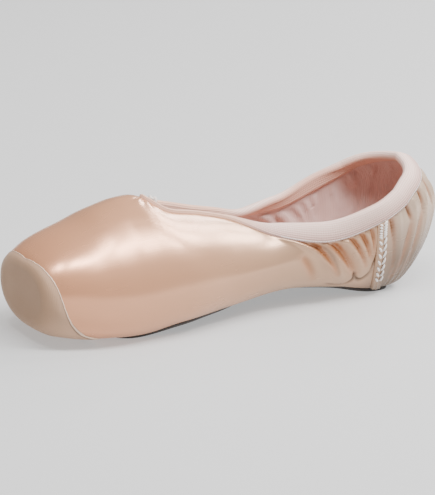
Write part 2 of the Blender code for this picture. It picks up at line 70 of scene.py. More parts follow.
# along, turn, width, belly, low, high
SECTIONS = (
    (0.00, 0.00, 0.585, 0.382, 2.20, 2.25),
    (0.05, 0.10, 0.775, 0.378, 2.40, 2.20),
    (0.13, 0.32, 0.930, 0.360, 2.75, 1.90),
    (0.20, 0.54, 0.985, 0.368, 2.40, 1.66),
    (0.24, 0.60, 0.995, 0.380, 2.10, 1.62),
    (0.32, 0.64, 0.980, 0.386, 2.10, 1.74),
    (0.45, 0.53, 0.825, 0.395, 1.95, 1.60),
    (0.60, 0.41, 0.705, 0.420, 2.00, 1.52),
    (0.73, 0.40, 0.730, 0.450, 1.95, 1.52),
    (0.84, 0.40, 0.772, 0.590, 1.60, 1.52),
    (1.00, 0.40, 0.770, 0.665, 1.35, 1.70),
)
# along, crown height
CROWN = (
    (0.00, 0.620), (0.05, 0.732), (0.13, 0.860), (0.17, 0.932),
    (0.20, 0.970), (0.225, 0.993), (0.25, 1.000), (0.29, 0.965),
)
# along, spring, arch
TREAD = (
    (0.00, 1.00, 0.00), (0.05, 0.24, 0.00), (0.13, 0.00, 0.00), (0.22, 0.00, 0.00),
    (0.32, 0.00, 0.46), (0.45, 0.00, 0.71), (0.60, 0.00, 1.00), (0.73, 0.00, 0.58),
    (0.84, 0.00, 0.00), (1.00, 0.00, 0.00),
)
# along, half gap, collar height
COLLAR = (
    (0.32, 0.11, 0.887), (0.38, 0.13, 0.826), (0.47, 0.165, 0.746), (0.57, 0.35, 0.657),
    (0.67, 0.61, 0.660), (0.79, 0.75, 0.766), (0.89, 0.60, 0.917), (1.00, 0.60, 0.998),
)
# along, outsole's half width
OUTLINE = (
    (0.155, 0.84), (0.20, 0.92), (0.29, 1.00), (0.42, 0.78), (0.56, 0.44),
    (0.70, 0.42), (0.79, 0.53), (0.85, 0.56), (1.00, 0.56),
)
# along, width of the binding's outside leg
LEG = ((0.283, 0.10), (0.44, 0.13), (0.52, 0.50), (0.60, 0.93), (0.68, 1.00), (1.00, 1.00))
# way round the platform from bottom to top, reach of the patch over its rounding
PATCH = (
    (0.00, 1.00), (0.22, 0.93), (0.31, 0.62), (0.41, 0.38), (0.52, 0.25), (0.66, 0.19),
    (0.82, 0.15), (1.00, 0.11),
)
# way down a side seam, place along the shoe
SEAM = ((0.00, 0.804), (0.30, 0.804), (0.60, 0.810), (0.85, 0.821), (1.00, 0.830))

# Folds drawn one by one, each a bent line over the satin through three places (along the shoe and
# share of the way up), with its width and its height or depth in millimetres: ridges stand out,
# troughs go in, and cracks are the narrow dark lines where cloth tucks under cloth. Both sides
# fold alike, the left a little further back.
RIDGES = (
    # the lip where the stiff front ends, and the bulges behind it
    (0.530, 0.900, 0.590, 0.775, 0.655, 0.560, 1.5, 1.7),
    (0.655, 0.560, 0.690, 0.420, 0.722, 0.300, 2.6, 1.7),
    (0.655, 0.720, 0.690, 0.560, 0.742, 0.330, 2.1, 1.7),
    (0.690, 0.740, 0.735, 0.540, 0.768, 0.350, 2.2, 1.4),
    (0.730, 0.740, 0.755, 0.560, 0.782, 0.370, 2.0, 1.3),
    (0.757, 0.740, 0.775, 0.560, 0.788, 0.420, 1.6, 1.1),
    (0.788, 0.760, 0.791, 0.560, 0.792, 0.390, 1.0, 1.0),
    # the heel
    (0.838, 0.780, 0.845, 0.560, 0.856, 0.300, 2.0, 1.0),
    (0.880, 0.800, 0.876, 0.600, 0.868, 0.300, 2.4, 1.0),
    (0.915, 0.820, 0.906, 0.640, 0.888, 0.300, 2.6, 1.0),
    (0.955, 0.830, 0.945, 0.640, 0.925, 0.330, 2.6, 0.9),
)
TROUGHS = (
    (0.590, 0.860, 0.622, 0.740, 0.668, 0.610, 1.4, 1.9),
    (0.632, 0.730, 0.668, 0.540, 0.706, 0.360, 1.3, 2.2),
    (0.664, 0.740, 0.705, 0.540, 0.752, 0.330, 2.1, 2.6),
    (0.612, 0.560, 0.626, 0.470, 0.648, 0.340, 2.0, 1.1),
    (0.716, 0.740, 0.746, 0.540, 0.775, 0.370, 1.1, 1.6),
    (0.745, 0.740, 0.765, 0.560, 0.785, 0.400, 1.1, 1.6),
    (0.772, 0.760, 0.783, 0.580, 0.790, 0.420, 0.9, 1.3),
    # the heel
    (0.822, 0.760, 0.830, 0.560, 0.850, 0.250, 1.3, 1.3),
    (0.858, 0.800, 0.862, 0.680, 0.868, 0.540, 1.0, 1.6),
    (0.899, 0.880, 0.898, 0.760, 0.894, 0.620, 1.0, 1.6),
    (0.868, 0.540, 0.864, 0.420, 0.856, 0.260, 1.5, 0.8),
    (0.894, 0.620, 0.886, 0.460, 0.872, 0.280, 1.5, 0.8),
    (0.935, 0.880, 0.932, 0.760, 0.926, 0.600, 1.1, 1.3),
    (0.972, 0.880, 0.970, 0.740, 0.962, 0.520, 1.2, 1.2),
)
CRACKS = (
    (0.651, 0.700, 0.684, 0.500, 0.712, 0.345, 0.77, 0.7),
    (0.797, 0.560, 0.799, 0.420, 0.793, 0.320, 0.72, 1.1),
    (0.795, 0.325, 0.772, 0.270, 0.752, 0.335, 0.72, 1.5),
    (0.752, 0.335, 0.754, 0.280, 0.738, 0.222, 0.77, 1.5),
    (0.738, 0.225, 0.715, 0.215, 0.690, 0.245, 0.82, 0.9),
    (0.824, 0.700, 0.832, 0.500, 0.846, 0.320, 0.67, 0.6),
    (0.861, 0.760, 0.863, 0.680, 0.866, 0.600, 0.67, 0.9),
    (0.898, 0.850, 0.897, 0.760, 0.895, 0.680, 0.67, 0.9),
)

# The chart of the satin near the collar, in which the binding is laid out, then the binding's
# loops and ribs, the side tapes' stitches, the limits of the folds, and the meshes' own values
CHART_START, CHART_END, CHART_ROWS = 0.23, 1.03, 800
CHART_TOP, CHART_BOTTOM, CHART_COLUMNS = -1.5 * MM, 24 * MM, 256
LEG_STEPS, INSIDE_STEPS = 8, 6
LOOPS_START, LOOP_STEP, LOOP_CORD = 0.585, 1.25 * MM, 0.2 * MM
STITCHES, STITCH_RADIUS, STITCH_ROWS_END = 13, 0.62 * MM, 0.82
STITCH_ROWS, RIB_STEP = ((-0.44, 1), (0.40, -1)), 1.15 * MM
LEFT_FOLDS_BACK, DEEPEST_FOLD, HIGHEST_FOLD = 0.006, 3.0 * MM, 2.6 * MM
FOLDS_FROM, FOLDS_UP_FROM, KNIT_FROM = (0.45, 0.56), (0.11, 0.20), (0.46, 0.58)
LEAST_SATIN, WELD, FINE_WELD, MIDDLE = 0.4 * MM, 0.02 * MM, 0.01 * MM, 0.02 * MM
PLATFORM_ROWS, PATCH_ROWS, TIP_ROWS = 6, 24, 24
SIDES = (("right", 1), ("left", -1))

FLOOR = SOLE_THICKNESS + GAP
TOE_LAYER = GAP + PATCH_THICKNESS
TOE_START = TOE_LAYER / LENGTH
BODY_START = (TOE_LAYER + PLATFORM_EDGE) / LENGTH
HEEL_START = 1 - HEEL_DEPTH / LENGTH


# Shape of the last

def smooth(rows, x):
    """Curves without overshoot through a table: cubic pieces whose slope at each row is the
    weighted harmonic mean of the slopes on both sides, and zero at a turn."""
    table = np.asarray(rows, float)
    knots, values = table[:, 0], table[:, 1:]
    step = np.diff(knots)[:, None]
    rise = np.diff(values, axis=0) / step
    before, after = rise[:-1], rise[1:]
    near, far = 2 * step[1:] + step[:-1], step[1:] + 2 * step[:-1]
    turns = before * after <= 0
    mean = near / np.where(turns, 1, before) + far / np.where(turns, 1, after)
    inner = np.where(turns, 0, (near + far) / np.where(turns, 1, mean))
    slope = np.concatenate([rise[:1], inner, rise[-1:]])
    x = np.clip(np.asarray(x, float), knots[0], knots[-1])
    i = np.clip(np.searchsorted(knots, x) - 1, 0, len(knots) - 2)
    width = step[i]
    t = (x - knots[i])[..., None] / width
    return np.moveaxis(
        (1 + 2 * t) * (1 - t) ** 2 * values[i]
        + t * (1 - t) ** 2 * width * slope[i]
        + t * t * (3 - 2 * t) * values[i + 1]
        + t * t * (t - 1) * width * slope[i + 1], -1, 0)


def step_up(x, start, end):
    """0 before start, 1 after end, and between them 3t^2 - 2t^3."""
    t = np.clip((x - start) / (end - start), 0, 1)
    return t * t * (3 - 2 * t)


def floor_height(along):
    """Height of the satin's underside: sole and gap, plus spring and arch from the table."""
    spring, arch = smooth(TREAD, along)
    return FLOOR + TOE_SPRING * spring + ARCH_RISE * arch


def wall_at(along):
    """Wall thickness: the box's in front, eased down to the quarters' behind it."""
    return BOX_WALL + (QUARTER_WALL - BOX_WALL) * step_up(along, BOX_BACK, QUARTER_FRONT)


def sole_half(along, inset):
    """Half width of the outsole: the table's, times a quarter circle at the rounded tip."""
    half = smooth(OUTLINE, along)[0] * SOLE_WIDTH / 2 - inset
    from_tip = (along - SOLE_TIP) * LENGTH - inset
    short = np.clip(1 - from_tip / SOLE_TIP_ROUND, 0, 1)
    return np.where(from_tip > 0, half * np.sqrt(1 - short**2), 0)


def collar_at(along):
    """Centre line, half gap and height of the collar, or of the crown before the throat. The
    gap is the root of the squared table value plus a parabola that rounds the V's point."""
    crown = smooth(CROWN, along)[0] * CROWN_HEIGHT
    point = float(smooth(CROWN, THROAT)[0]) * CROWN_HEIGHT / HEEL_HEIGHT
    slope = point - float(smooth(CROWN, THROAT - 0.01)[0]) * CROWN_HEIGHT / HEEL_HEIGHT
    rows = ((THROAT - 0.01, 0.0, point - slope), (THROAT, 0.0, point)) + COLLAR
    gap, height = smooth(rows, along)
    behind = np.clip(along - THROAT, 0, 1) * LENGTH
    rounding = np.clip(1 - behind / (8 * THROAT_RADIUS), 0, 1) ** 2
    centre = np.where(behind > 0, gap * BALL_WIDTH / 2, 0)
    half = np.sqrt(centre**2 + 2 * THROAT_RADIUS * behind * rounding)
    return centre, half, np.where(behind > 0, height * HEEL_HEIGHT, crown)


def even(share, power):
    """Turns a share of an angle into one that steps evenly along a squared circle's ends:
    s^(1/a) over the sum of s^(1/a) and (1 - s)^(1/a), where a is half the circle's power.
    With one over the power it turns it back."""
    share = np.clip(share, 0, 1)
    a, b = share ** (2 / power), (1 - share) ** (2 / power)
    return a / (a + b)


def collar_up(along):
    """Where the collar cuts the skin, by its up: one at the belly, two at the crown."""
    width, power = smooth(SECTIONS, along)[[1, 4]]
    centre, gap, _ = collar_at(along)
    wide = width * BALL_WIDTH / 2
    cut = np.arccos(np.clip((gap - centre) / (wide - centre), 0, 1) ** (power / 2))
    return 1 + even(cut / (math.pi / 2), power)


def skin(along, up):
    """The satin's outside: up runs from -1 at the edge under the insole to 0 where the satin
    turns, up a quarter of a squared circle to 1 at the belly, and up another to 2 at the
    crown, evenly there, and past 2 down its far side. Behind the heel cup's centre the ribs
    turn round it like a fan, and past 1 along they go on round the other side."""
    along, up = np.broadcast_arrays(np.asarray(along, float), np.asarray(up, float))
    crown_side, heel_side = np.where(up > 2, -1, 1), np.where(along > 1, -1, 1)
    up, along = np.where(up > 2, 4 - up, up), np.where(along > 1, 2 - along, along)
    tucked, width, belly, low_power, high_power = smooth(SECTIONS, along)
    turn = np.clip((along - HEEL_START) / (1 - HEEL_START), 0, 1) * math.pi / 2
    straight = np.minimum(along, HEEL_START)
    under = floor_height(along)
    belly = belly * CROWN_HEIGHT
    wide = width * BALL_WIDTH / 2
    centre, _, edge = collar_at(along)
    flat = np.clip(up + 1, 0, 1)
    low = np.clip(up, 0, 1) * math.pi / 2
    high = even(up - 1, 4 / high_power) * math.pi / 2
    out_low = np.sin(low) ** (2 / low_power)
    up_low = 1 - np.cos(low) ** (2 / low_power)
    in_high = crown_side * np.maximum(np.cos(high), 0) ** (2 / high_power)
    up_high = np.sin(high) ** (2 / high_power)

    def reach(start, turned, widest, top):
        """Way out from the middle, through its four values in turn."""
        below = start + (turned - start) * flat + (widest - turned) * out_low
        return np.where(up > 1, top + (widest - top) * in_high, below)

    turned = tucked * BALL_WIDTH / 2
    side = reach(np.minimum(sole_half(straight, SOLE_LAP), turned), turned, wide, centre)
    back = reach(SOLE_HEEL_DEPTH - SOLE_LAP, TURN_HEEL_DEPTH, HEEL_DEPTH, HEEL_MOUTH)
    above = belly + (edge - belly) * up_high
    height = np.where(up > 1, above, under + (belly - under) * up_low)
    depth = np.clip((belly - height) / (belly - under), 0, 1)
    power = 1 + (2 / SOLE_END_SQUARE - 1) * depth
    x = side * np.cos(turn) ** power
    y = np.where(turn > 0, HEEL_START * LENGTH + back * np.sin(turn) ** power, along * LENGTH)
    return np.stack([x * heel_side, y - LENGTH / 2, height], axis=-1)


def up_of(along, share):
    """The skin's up for a share of the way from the sole's edge to the collar, where the
    upper shares are even steps of the rib's angle."""
    power = smooth(SECTIONS, along)[4]
    top = even(collar_up(along) - 1, 4 / power)
    flat = share / FLAT_SHARE - 1
    low = (share - FLAT_SHARE) / (BELLY_SHARE - FLAT_SHARE)
    climbed = np.clip((share - BELLY_SHARE) / (1 - BELLY_SHARE), 0, 1)
    high = 1 + even(climbed * top, power)
    return np.where(share < FLAT_SHARE, flat, np.where(share < BELLY_SHARE, low, high))


def rib(along, share):
    """The skin by share of the way up."""
    along, share = np.broadcast_arrays(np.asarray(along, float), np.asarray(share, float))
    return skin(along, up_of(along, share))


def toe(reach, share):
    """The toe: reach counts one over the flat of the platform, from its middle to its edge,
    two to the end of its rounding, a quadratic curve, and then shares of the length."""
    reach, share = np.broadcast_arrays(np.asarray(reach, float), np.asarray(share, float))
    corner = rib(TOE_START, share)
    foot, top = rib(TOE_START, 0.0)[2], rib(TOE_START, 1.0)[2]
    half_width = rib(TOE_START, BELLY_SHARE)[0]
    half_height = (top - foot) / 2
    centre = np.array([0, corner[..., 1].flat[0], foot + half_height])
    shrink = np.array([1 - PLATFORM_EDGE / half_width, 1, 1 - PLATFORM_EDGE / half_height])
    inner = centre + (corner - centre) * shrink
    out = reach[..., None]
    flat = centre + (inner - centre) * np.clip(out, 0, 1)
    t = np.clip(out - 1, 0, 1)
    edge = (1 - t) ** 2 * inner + 2 * t * (1 - t) * corner + t * t * rib(BODY_START, share)
    body = rib(BODY_START + np.clip(reach - 2, 0, 1), share)
    found = np.where(out <= 1, flat, np.where(out < 2, edge, body))
    back = np.clip(1 - (found[..., 1] + LENGTH / 2) / (LEAN_REACH * LENGTH), 0, 1) ** 2
    found[..., 1] += PLATFORM_LEAN * (top - found[..., 2]) / (top - foot) * back
    return found


# Meshes from grids

def unit(v):
    """A vector over its own length."""
    return v / np.maximum(np.linalg.norm(v, axis=-1, keepdims=True), 1e-12)


def normals_of(points):
    """Unit normals of a grid: the cross product of its differences along rows and columns."""
    return unit(np.cross(np.gradient(points, axis=0), np.gradient(points, axis=1)))


def outward(grid, front):
    """Normals of half the shoe: its first rows face straight ahead, and the middle line
    has none across."""
    out = normals_of(grid)
    out[grid[..., 0] < MIDDLE, 0] = 0
    out[:front] = (0, -1, 0)
    return unit(out)


def way_over(points, axis=0):
    """Way over the points from the first, as the sum of the steps between them."""
    steps = np.linalg.norm(np.diff(points, axis=axis), axis=-1)
    return np.concatenate([np.zeros_like(steps.take([0], axis)), np.cumsum(steps, axis)], axis)


def between(at, places, rows):
    """Points at the places given, straight between the rows of a line."""
    return np.stack([np.interp(at, places, rows[:, k]) for k in range(3)], axis=-1)


def quads(rows, cols, closed=False, flip=False, first=0):
    """Corner numbers of the faces of a grid, row after row."""
    i = np.arange(rows - 1)[:, None] * cols
    j = np.arange(cols if closed else cols - 1)[None, :]
    k = (j + 1) % cols
    faces = np.stack(np.broadcast_arrays(i + j, i + cols + j, i + cols + k, i + k), axis=-1)
    faces = faces.reshape(-1, 4) + first
    return faces[:, ::-1] if flip else faces


def piece(name, verts, faces, material, stands_for, slot=None, uv=None, merge=0.0, marks=None):
    """An object from arrays of points and quads, at the origin, riding on the shoe in place
    of a node. Marks are values by point for the material."""
    mesh = bpy.data.meshes.new(name)
    mesh.from_pydata(np.ascontiguousarray(verts, float), [], np.ascontiguousarray(faces))
    if uv is not None:
        layer = mesh.uv_layers.new(name="cloth")
        corners = np.asarray(uv, np.float32)[np.asarray(faces).ravel()]
        layer.data.foreach_set("uv", np.ascontiguousarray(corners).ravel())
    for mark, values in (marks or {}).items():
        attribute = mesh.attributes.new(mark, "FLOAT", "POINT")
        attribute.data.foreach_set("value", np.ascontiguousarray(values, np.float32).ravel())
    mesh.shade_smooth()
    mesh.materials.append(material)
    made = bpy.data.objects.new(name, mesh)
    bpy.context.scene.collection.objects.link(made)
    if merge:
        weld = made.modifiers.new("Closed seams", "WELD")
        weld.merge_threshold = merge
    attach(made, "root")
    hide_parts(stands_for)
    return made


def joined(right, left, closed=False, inward=False):
    """Points and faces of the grids of two halves, facing out, or in."""
    rows, cols = right.shape[:2]
    verts = np.concatenate([right.reshape(-1, 3), left.reshape(-1, 3)])
    return verts, np.concatenate([
        quads(rows, cols, closed, flip=inward),
        quads(rows, cols, closed, flip=not inward, first=rows * cols),
    ])


def both_sides(grid, *extra, closed=False):
    """A grid and its mirror image, with what each point carries twice."""
    halves = joined(grid, grid * [-1, 1, 1], closed)
    return (*halves, *[np.concatenate([e, e]) for e in extra])


def tube(path, radius, sides, closed=False):
    """Rings of sides points around each path, in frames that turn as little as they can: the
    side vector is a fixed direction with the path's own direction taken out of it."""
    path = np.asarray(path, float)
    if closed:
        ahead = unit(np.roll(path, -1, axis=-2) - np.roll(path, 1, axis=-2))
    else:
        ahead = unit(np.gradient(path, axis=-2))
    helper = np.broadcast_to(np.array([0.31, 0.17, 0.93]), ahead.shape)
    side = unit(helper - (helper * ahead).sum(-1, keepdims=True) * ahead)
    other = np.cross(ahead, side)
    angle = np.linspace(0, 2 * math.pi, sides, endpoint=False)
    ring = (side[..., None, :] * np.cos(angle)[:, None]
            + other[..., None, :] * np.sin(angle)[:, None])
    radius = np.broadcast_to(np.asarray(radius, float), path.shape[:-1])
    return path[..., None, :] + ring * radius[..., None, None]


def tubes_mesh(rings):
    """Points and faces of many tubes at once, from an array of tubes, rings and sides; the
    ends close in a point."""
    count, length, sides = rings.shape[:3]
    ends = rings.mean(axis=2, keepdims=True).repeat(sides, axis=2)
    full = np.concatenate([ends[:, :1], rings, ends[:, -1:]], axis=1)
    base = quads(length + 2, sides, closed=True)
    first = np.arange(count) * (length + 2) * sides
    return full.reshape(-1, 3), (base + first[:, None, None]).reshape(-1, 4)


# Camera, floor and light

def add_camera():
    """The photo's view: turned and raised round the shoe, rolled, and a long lens whose
    length in pixels is the distance times the pixels a millimetre."""
    turned, raised, rolled = math.radians(56.12), math.radians(18.79), math.radians(-3.157)
    distance, scale, right, down = 2217.6 * MM, 1.987, 8.98, 1.43
    back = Vector((math.sin(turned) * math.cos(raised), -math.cos(turned) * math.cos(raised),
                   math.sin(raised)))
    level = Vector((math.cos(turned), math.sin(turned), 0))
    upward = back.cross(level)
    x = level * math.cos(rolled) - upward * math.sin(rolled)
    y = level * math.sin(rolled) + upward * math.cos(rolled)
    data = bpy.data.cameras.new("camera")
    data.sensor_width = 36
    data.lens = distance / MM * scale * data.sensor_width / 495
    data.shift_x, data.shift_y = -right / 495, down / 495
    data.clip_start, data.clip_end = 0.05, 50
    camera = bpy.data.objects.new("camera", data)
    place = Vector((0, -1 * MM, 30 * MM)) + back * distance
    turn = Matrix((x, y, back)).transposed().to_4x4()
    camera.matrix_world = Matrix.Translation(place) @ turn
    bpy.context.scene.collection.objects.link(camera)
    bpy.context.scene.camera = camera


def add_floor():
    """A flat square floor of pale paper, a little bright of itself."""
    mesh = bpy.data.meshes.new("floor")
    mesh.from_pydata([(-8, -8, 0), (8, -8, 0), (8, 8, 0), (-8, 8, 0)], [], [(0, 1, 2, 3)])
    floor = bpy.data.objects.new("floor", mesh)
    paper, _, _ = new_material(
        "white floor", (0.46, 0.46, 0.46), 0.9, Specular_IOR_Level=0.1,
        Emission_Color=(1, 1, 1, 1), Emission_Strength=0.45)
    mesh.materials.append(paper)
    bpy.context.scene.collection.objects.link(floor)


# An arch of small softboxes from over the toe to behind the heel: name, place, width of the
# square and power in watts
SOFTBOXES = (
    ("toe softbox", (0.14, -0.47, 1.10), 0.20, 4.5),
    ("box softbox", (0.31, -0.16, 1.12), 0.20, 4.5),
    ("ball softbox", (0.41, 0.04, 1.09), 0.20, 4.5),
    ("near softbox", (0.53, 0.25, 0.99), 0.20, 4.5),
    ("waist softbox", (0.57, 0.44, 0.89), 0.20, 4.0),
    ("side softbox", (0.41, 0.64, 0.84), 0.20, 4.0),
    ("rear softbox", (0.07, 0.82, 0.77), 0.24, 5.0),
    ("heel softbox", (-0.25, 0.85, 0.70), 0.24, 4.0),
    ("far softbox", (-0.58, 0.81, 0.54), 0.24, 3.5),
)


def add_lights():
    """An even white sky, and the softboxes, each turned to the middle of the shoe."""
    world = bpy.data.worlds.new("studio")
    world.use_nodes = True
    sky = world.node_tree.nodes["Background"]
    sky.inputs["Color"].default_value = (1, 1, 1, 1)
    sky.inputs["Strength"].default_value = 0.30
    bpy.context.scene.world = world
    for name, place, size, power in SOFTBOXES:
        data = bpy.data.lights.new(name, "AREA")
        data.size, data.energy = size, power
        light = bpy.data.objects.new(name, data)
        light.location = place
        aim = Vector(place) - Vector((0, 0, 35 * MM))
        light.rotation_euler = aim.to_track_quat("Z", "Y").to_euler()
        bpy.context.scene.collection.objects.link(light)


# Materials

def new_material(name, colour, roughness, **sockets):
    """A material with a Principled shader, its node tree and a linker for short wiring."""
    made = bpy.data.materials.new(name)
    made.use_nodes = True
    tree = made.node_tree
    shader = tree.nodes["Principled BSDF"]
    shader.inputs["Base Color"].default_value = (*colour, 1)
    shader.inputs["Roughness"].default_value = roughness
    for socket, value in sockets.items():
        shader.inputs[socket.replace("_", " ")].default_value = value
    return made, tree, shader


def node(tree, kind, **settings):
    """A node with its settings: sockets by name in inputs, and attributes."""
    made = tree.nodes.new(kind)
    for key, value in settings.pop("inputs", {}).items():
        made.inputs[key].default_value = value
    for key, value in settings.items():
        setattr(made, key, value)
    return made


def wire(tree, *pairs):
    """A link for each pair of sockets."""
    for start, end in pairs:
        tree.links.new(start, end)


def spread(tree, value, low=0.0, high=1.0, to=(0.0, 1.0)):
    """A value from low to high, spread evenly over the range given."""
    made = node(tree, "ShaderNodeMapRange", inputs={
        "From Min": low, "From Max": high, "To Min": to[0], "To Max": to[1]})
    wire(tree, (value, made.inputs["Value"]))
    return made.outputs[0]


def noise(tree, place, scale, detail):
    """Soft noise over the place, from 0 to 1."""
    made = node(tree, "ShaderNodeTexNoise", inputs={"Scale": scale, "Detail": detail})
    wire(tree, (place, made.inputs["Vector"]))
    return made.outputs[0]


def mark(tree, name):
    """What a piece's points carry under the name."""
    return node(tree, "ShaderNodeAttribute", attribute_name=name).outputs["Fac"]


def axes(tree, place):
    """The three parts of a place."""
    split = node(tree, "ShaderNodeSeparateXYZ")
    wire(tree, (place, split.inputs[0]))
    return split.outputs


def cloth_group():
    """Shared weave, put out as a height: the sines of both ways over the place times the
    threads, with slubs of noise."""
    group = bpy.data.node_groups.new("weave", "ShaderNodeTree")
    face = group.interface
    face.new_socket("Place", in_out="INPUT", socket_type="NodeSocketVector")
    for name, value in (("Threads", 9000.0), ("Slub", 0.4)):
        face.new_socket(name, in_out="INPUT", socket_type="NodeSocketFloat").default_value = value
    face.new_socket("Height", in_out="OUTPUT", socket_type="NodeSocketFloat")
    given = node(group, "NodeGroupInput").outputs
    made = node(group, "NodeGroupOutput")
    both = node(group, "ShaderNodeMath", operation="ADD")
    for axis, way in enumerate(axes(group, given["Place"])[:2]):
        times = node(group, "ShaderNodeMath", operation="MULTIPLY")
        wave = node(group, "ShaderNodeMath", operation="SINE")
        wire(group, (way, times.inputs[0]), (given["Threads"], times.inputs[1]),
             (times.outputs[0], wave.inputs[0]), (wave.outputs[0], both.inputs[axis]))
    mixed = node(group, "ShaderNodeMath", operation="MULTIPLY_ADD")
    wire(group, (noise(group, given["Place"], 900.0, 2.0), mixed.inputs[0]),
         (given["Slub"], mixed.inputs[1]), (both.outputs[0], mixed.inputs[2]),
         (mixed.outputs[0], made.inputs["Height"]))
    return group


def add_weave(tree, shader, weave, place, threads, slub, strength, under=None):
    """Lays the shared weave into a material as a bump, over another bump if given."""
    cloth = node(tree, "ShaderNodeGroup", node_tree=weave)
    cloth.inputs["Threads"].default_value, cloth.inputs["Slub"].default_value = threads, slub
    bump = node(tree, "ShaderNodeBump", inputs={"Strength": strength, "Distance": 0.1 * MM})
    wire(tree, (place, cloth.inputs["Place"]), (cloth.outputs["Height"], bump.inputs["Height"]),
         (bump.outputs[0], shader.inputs["Normal"]))
    if under is not None:
        wire(tree, (under, bump.inputs["Normal"]))


def mix(tree, share, first, second, kind="MIX"):
    """A colour mix; share, first and second are numbers, colours or sockets."""
    made = node(tree, "ShaderNodeMix", data_type="RGBA", blend_type=kind)
    for number, value in ((0, share), (6, first), (7, second)):
        if isinstance(value, bpy.types.NodeSocket):
            wire(tree, (value, made.inputs[number]))
        else:
            made.inputs[number].default_value = (*value, 1) if isinstance(value, tuple) else value
    return made.outputs[2]


def satin_material(weave):
    """Peach satin: its colour goes from toe to waist, and over the heel by height as painted
    shade low on the heel and painted light at its top, with soft clouds, painted shade in the
    troughs and dark painted shade in the cracks. Its gloss lies in faint streaks."""
    made, tree, shader = new_material("peach satin", (0.80, 0.42, 0.24), 0.3, Metallic=0.38,
                                      Specular_IOR_Level=0.7)
    place = node(tree, "ShaderNodeTexCoord").outputs["Object"]
    _, along, up = axes(tree, place)
    front_to_waist = mix(tree, spread(tree, along, -0.11, 0.03), (0.83, 0.39, 0.21),
                         (0.58, 0.36, 0.225))
    # Painted light and shade on the heel: dark greige painted shade low down, light painted light
    # at its top.
    heel_shade_and_light = mix(tree, spread(tree, up, 0.02, 0.062), (0.22, 0.15, 0.105), (0.86, 0.64, 0.48))
    base = mix(tree, spread(tree, along, 0.068, 0.084), front_to_waist, heel_shade_and_light)
    cloud = mix(tree, noise(tree, place, 26.0, 2.0), (0.90, 0.86, 0.84), (1.0, 1.0, 1.0))
    shaded = mix(tree, 0.5, base, cloud, "MULTIPLY")
    # Painted shade: a warm dark brown in the troughs and near black in the cracks, by the marks
    # the folds give.
    trough_shaded = mix(tree, mark(tree, "fold"), shaded, (0.42, 0.15, 0.05))
    crack_shaded = mix(tree, mark(tree, "crack_shade"), trough_shaded, (0.035, 0.014, 0.008))
    streak = node(tree, "ShaderNodeMapping", inputs={"Scale": (260.0, 22.0, 260.0)})
    gloss = spread(tree, noise(tree, streak.outputs[0], 1.0, 1.0), to=(0.22, 0.30))
    wire(tree, (place, streak.inputs["Vector"]), (crack_shaded, shader.inputs["Base Color"]),
         (gloss, shader.inputs["Roughness"]))
    add_weave(tree, shader, weave, place, 9000, 0.2, 0.02)
    return made


def knit_material(weave):
    """Pale pink ribbed knit: a sine over the tape's own UV map, one rib in 1.15 mm, with painted
    shade in the grooves between the ribs, darker low on the outside leg, warmer and darker
    painted shade inside the shoe, and satin-coloured where it passes the throat."""
    made, tree, shader = new_material("ribbed knit", (0.84, 0.69, 0.64), 0.75, Sheen_Weight=0.12)
    place = node(tree, "ShaderNodeTexCoord").outputs["UV"]
    over = axes(tree, place)[0]
    times = node(tree, "ShaderNodeMath", operation="MULTIPLY",
                 inputs={1: 2 * math.pi / RIB_STEP})
    wave = node(tree, "ShaderNodeMath", operation="SINE")
    bump = node(tree, "ShaderNodeBump", inputs={"Strength": 0.35, "Distance": 0.25 * MM})
    wire(tree, (over, times.inputs[0]), (times.outputs[0], wave.inputs[0]))
    height = spread(tree, wave.outputs[0], -1.0, 1.0)
    # Within each pair the darker colour sits in the grooves between the ribs: painted shade.
    low = mix(tree, height, (0.50, 0.29, 0.25), (0.80, 0.54, 0.47))
    high = mix(tree, height, (0.84, 0.54, 0.46), (0.98, 0.75, 0.66))
    ribs = mix(tree, spread(tree, over, 3.0 * MM, 7.5 * MM), low, high)
    # Painted shade on the part of the tape that lies inside the shoe.
    inside_shaded = mix(tree, mark(tree, "inside"), ribs, (0.78, 0.44, 0.33))
    colour = mix(tree, mark(tree, "front"), inside_shaded, (0.84, 0.50, 0.36))
    wire(tree, (height, bump.inputs["Height"]), (colour, shader.inputs["Base Color"]))
    add_weave(tree, shader, weave, place, 5200, 0.6, 0.3, bump.outputs[0])
    return made


def worn_material(weave):
    """Platform satin rubbed dull and brown in clouds, lighter where it rounds, with a dark line
    of painted shade inside its cut edge and a pale painted highlight on the cut edge itself,
    by the way out to the patch's edge."""
    made, tree, shader = new_material("rubbed satin", (0.47, 0.35, 0.25), 0.6, Sheen_Weight=0.1)
    place = node(tree, "ShaderNodeTexCoord").outputs["Object"]
    edge = mark(tree, "edge")
    worn = mix(tree, noise(tree, place, 70.0, 6.0), (0.34, 0.19, 0.10), (0.42, 0.245, 0.14))
    rounded = mix(tree, spread(tree, edge, 0.05, 0.75), worn, (0.58, 0.36, 0.23))
    # Painted shade: a dark line just inside the patch's edge.
    seam_shade = mix(tree, spread(tree, edge, 0.89, 0.92), rounded, (0.24, 0.13, 0.08))
    # Painted highlight: a pale line on the patch's cut edge.
    cut = mix(tree, spread(tree, edge, 0.935, 0.955), seam_shade, (0.88, 0.66, 0.50))
    wire(tree, (cut, shader.inputs["Base Color"]))
    add_weave(tree, shader, weave, place, 9000, 1.4, 0.2)
    return made


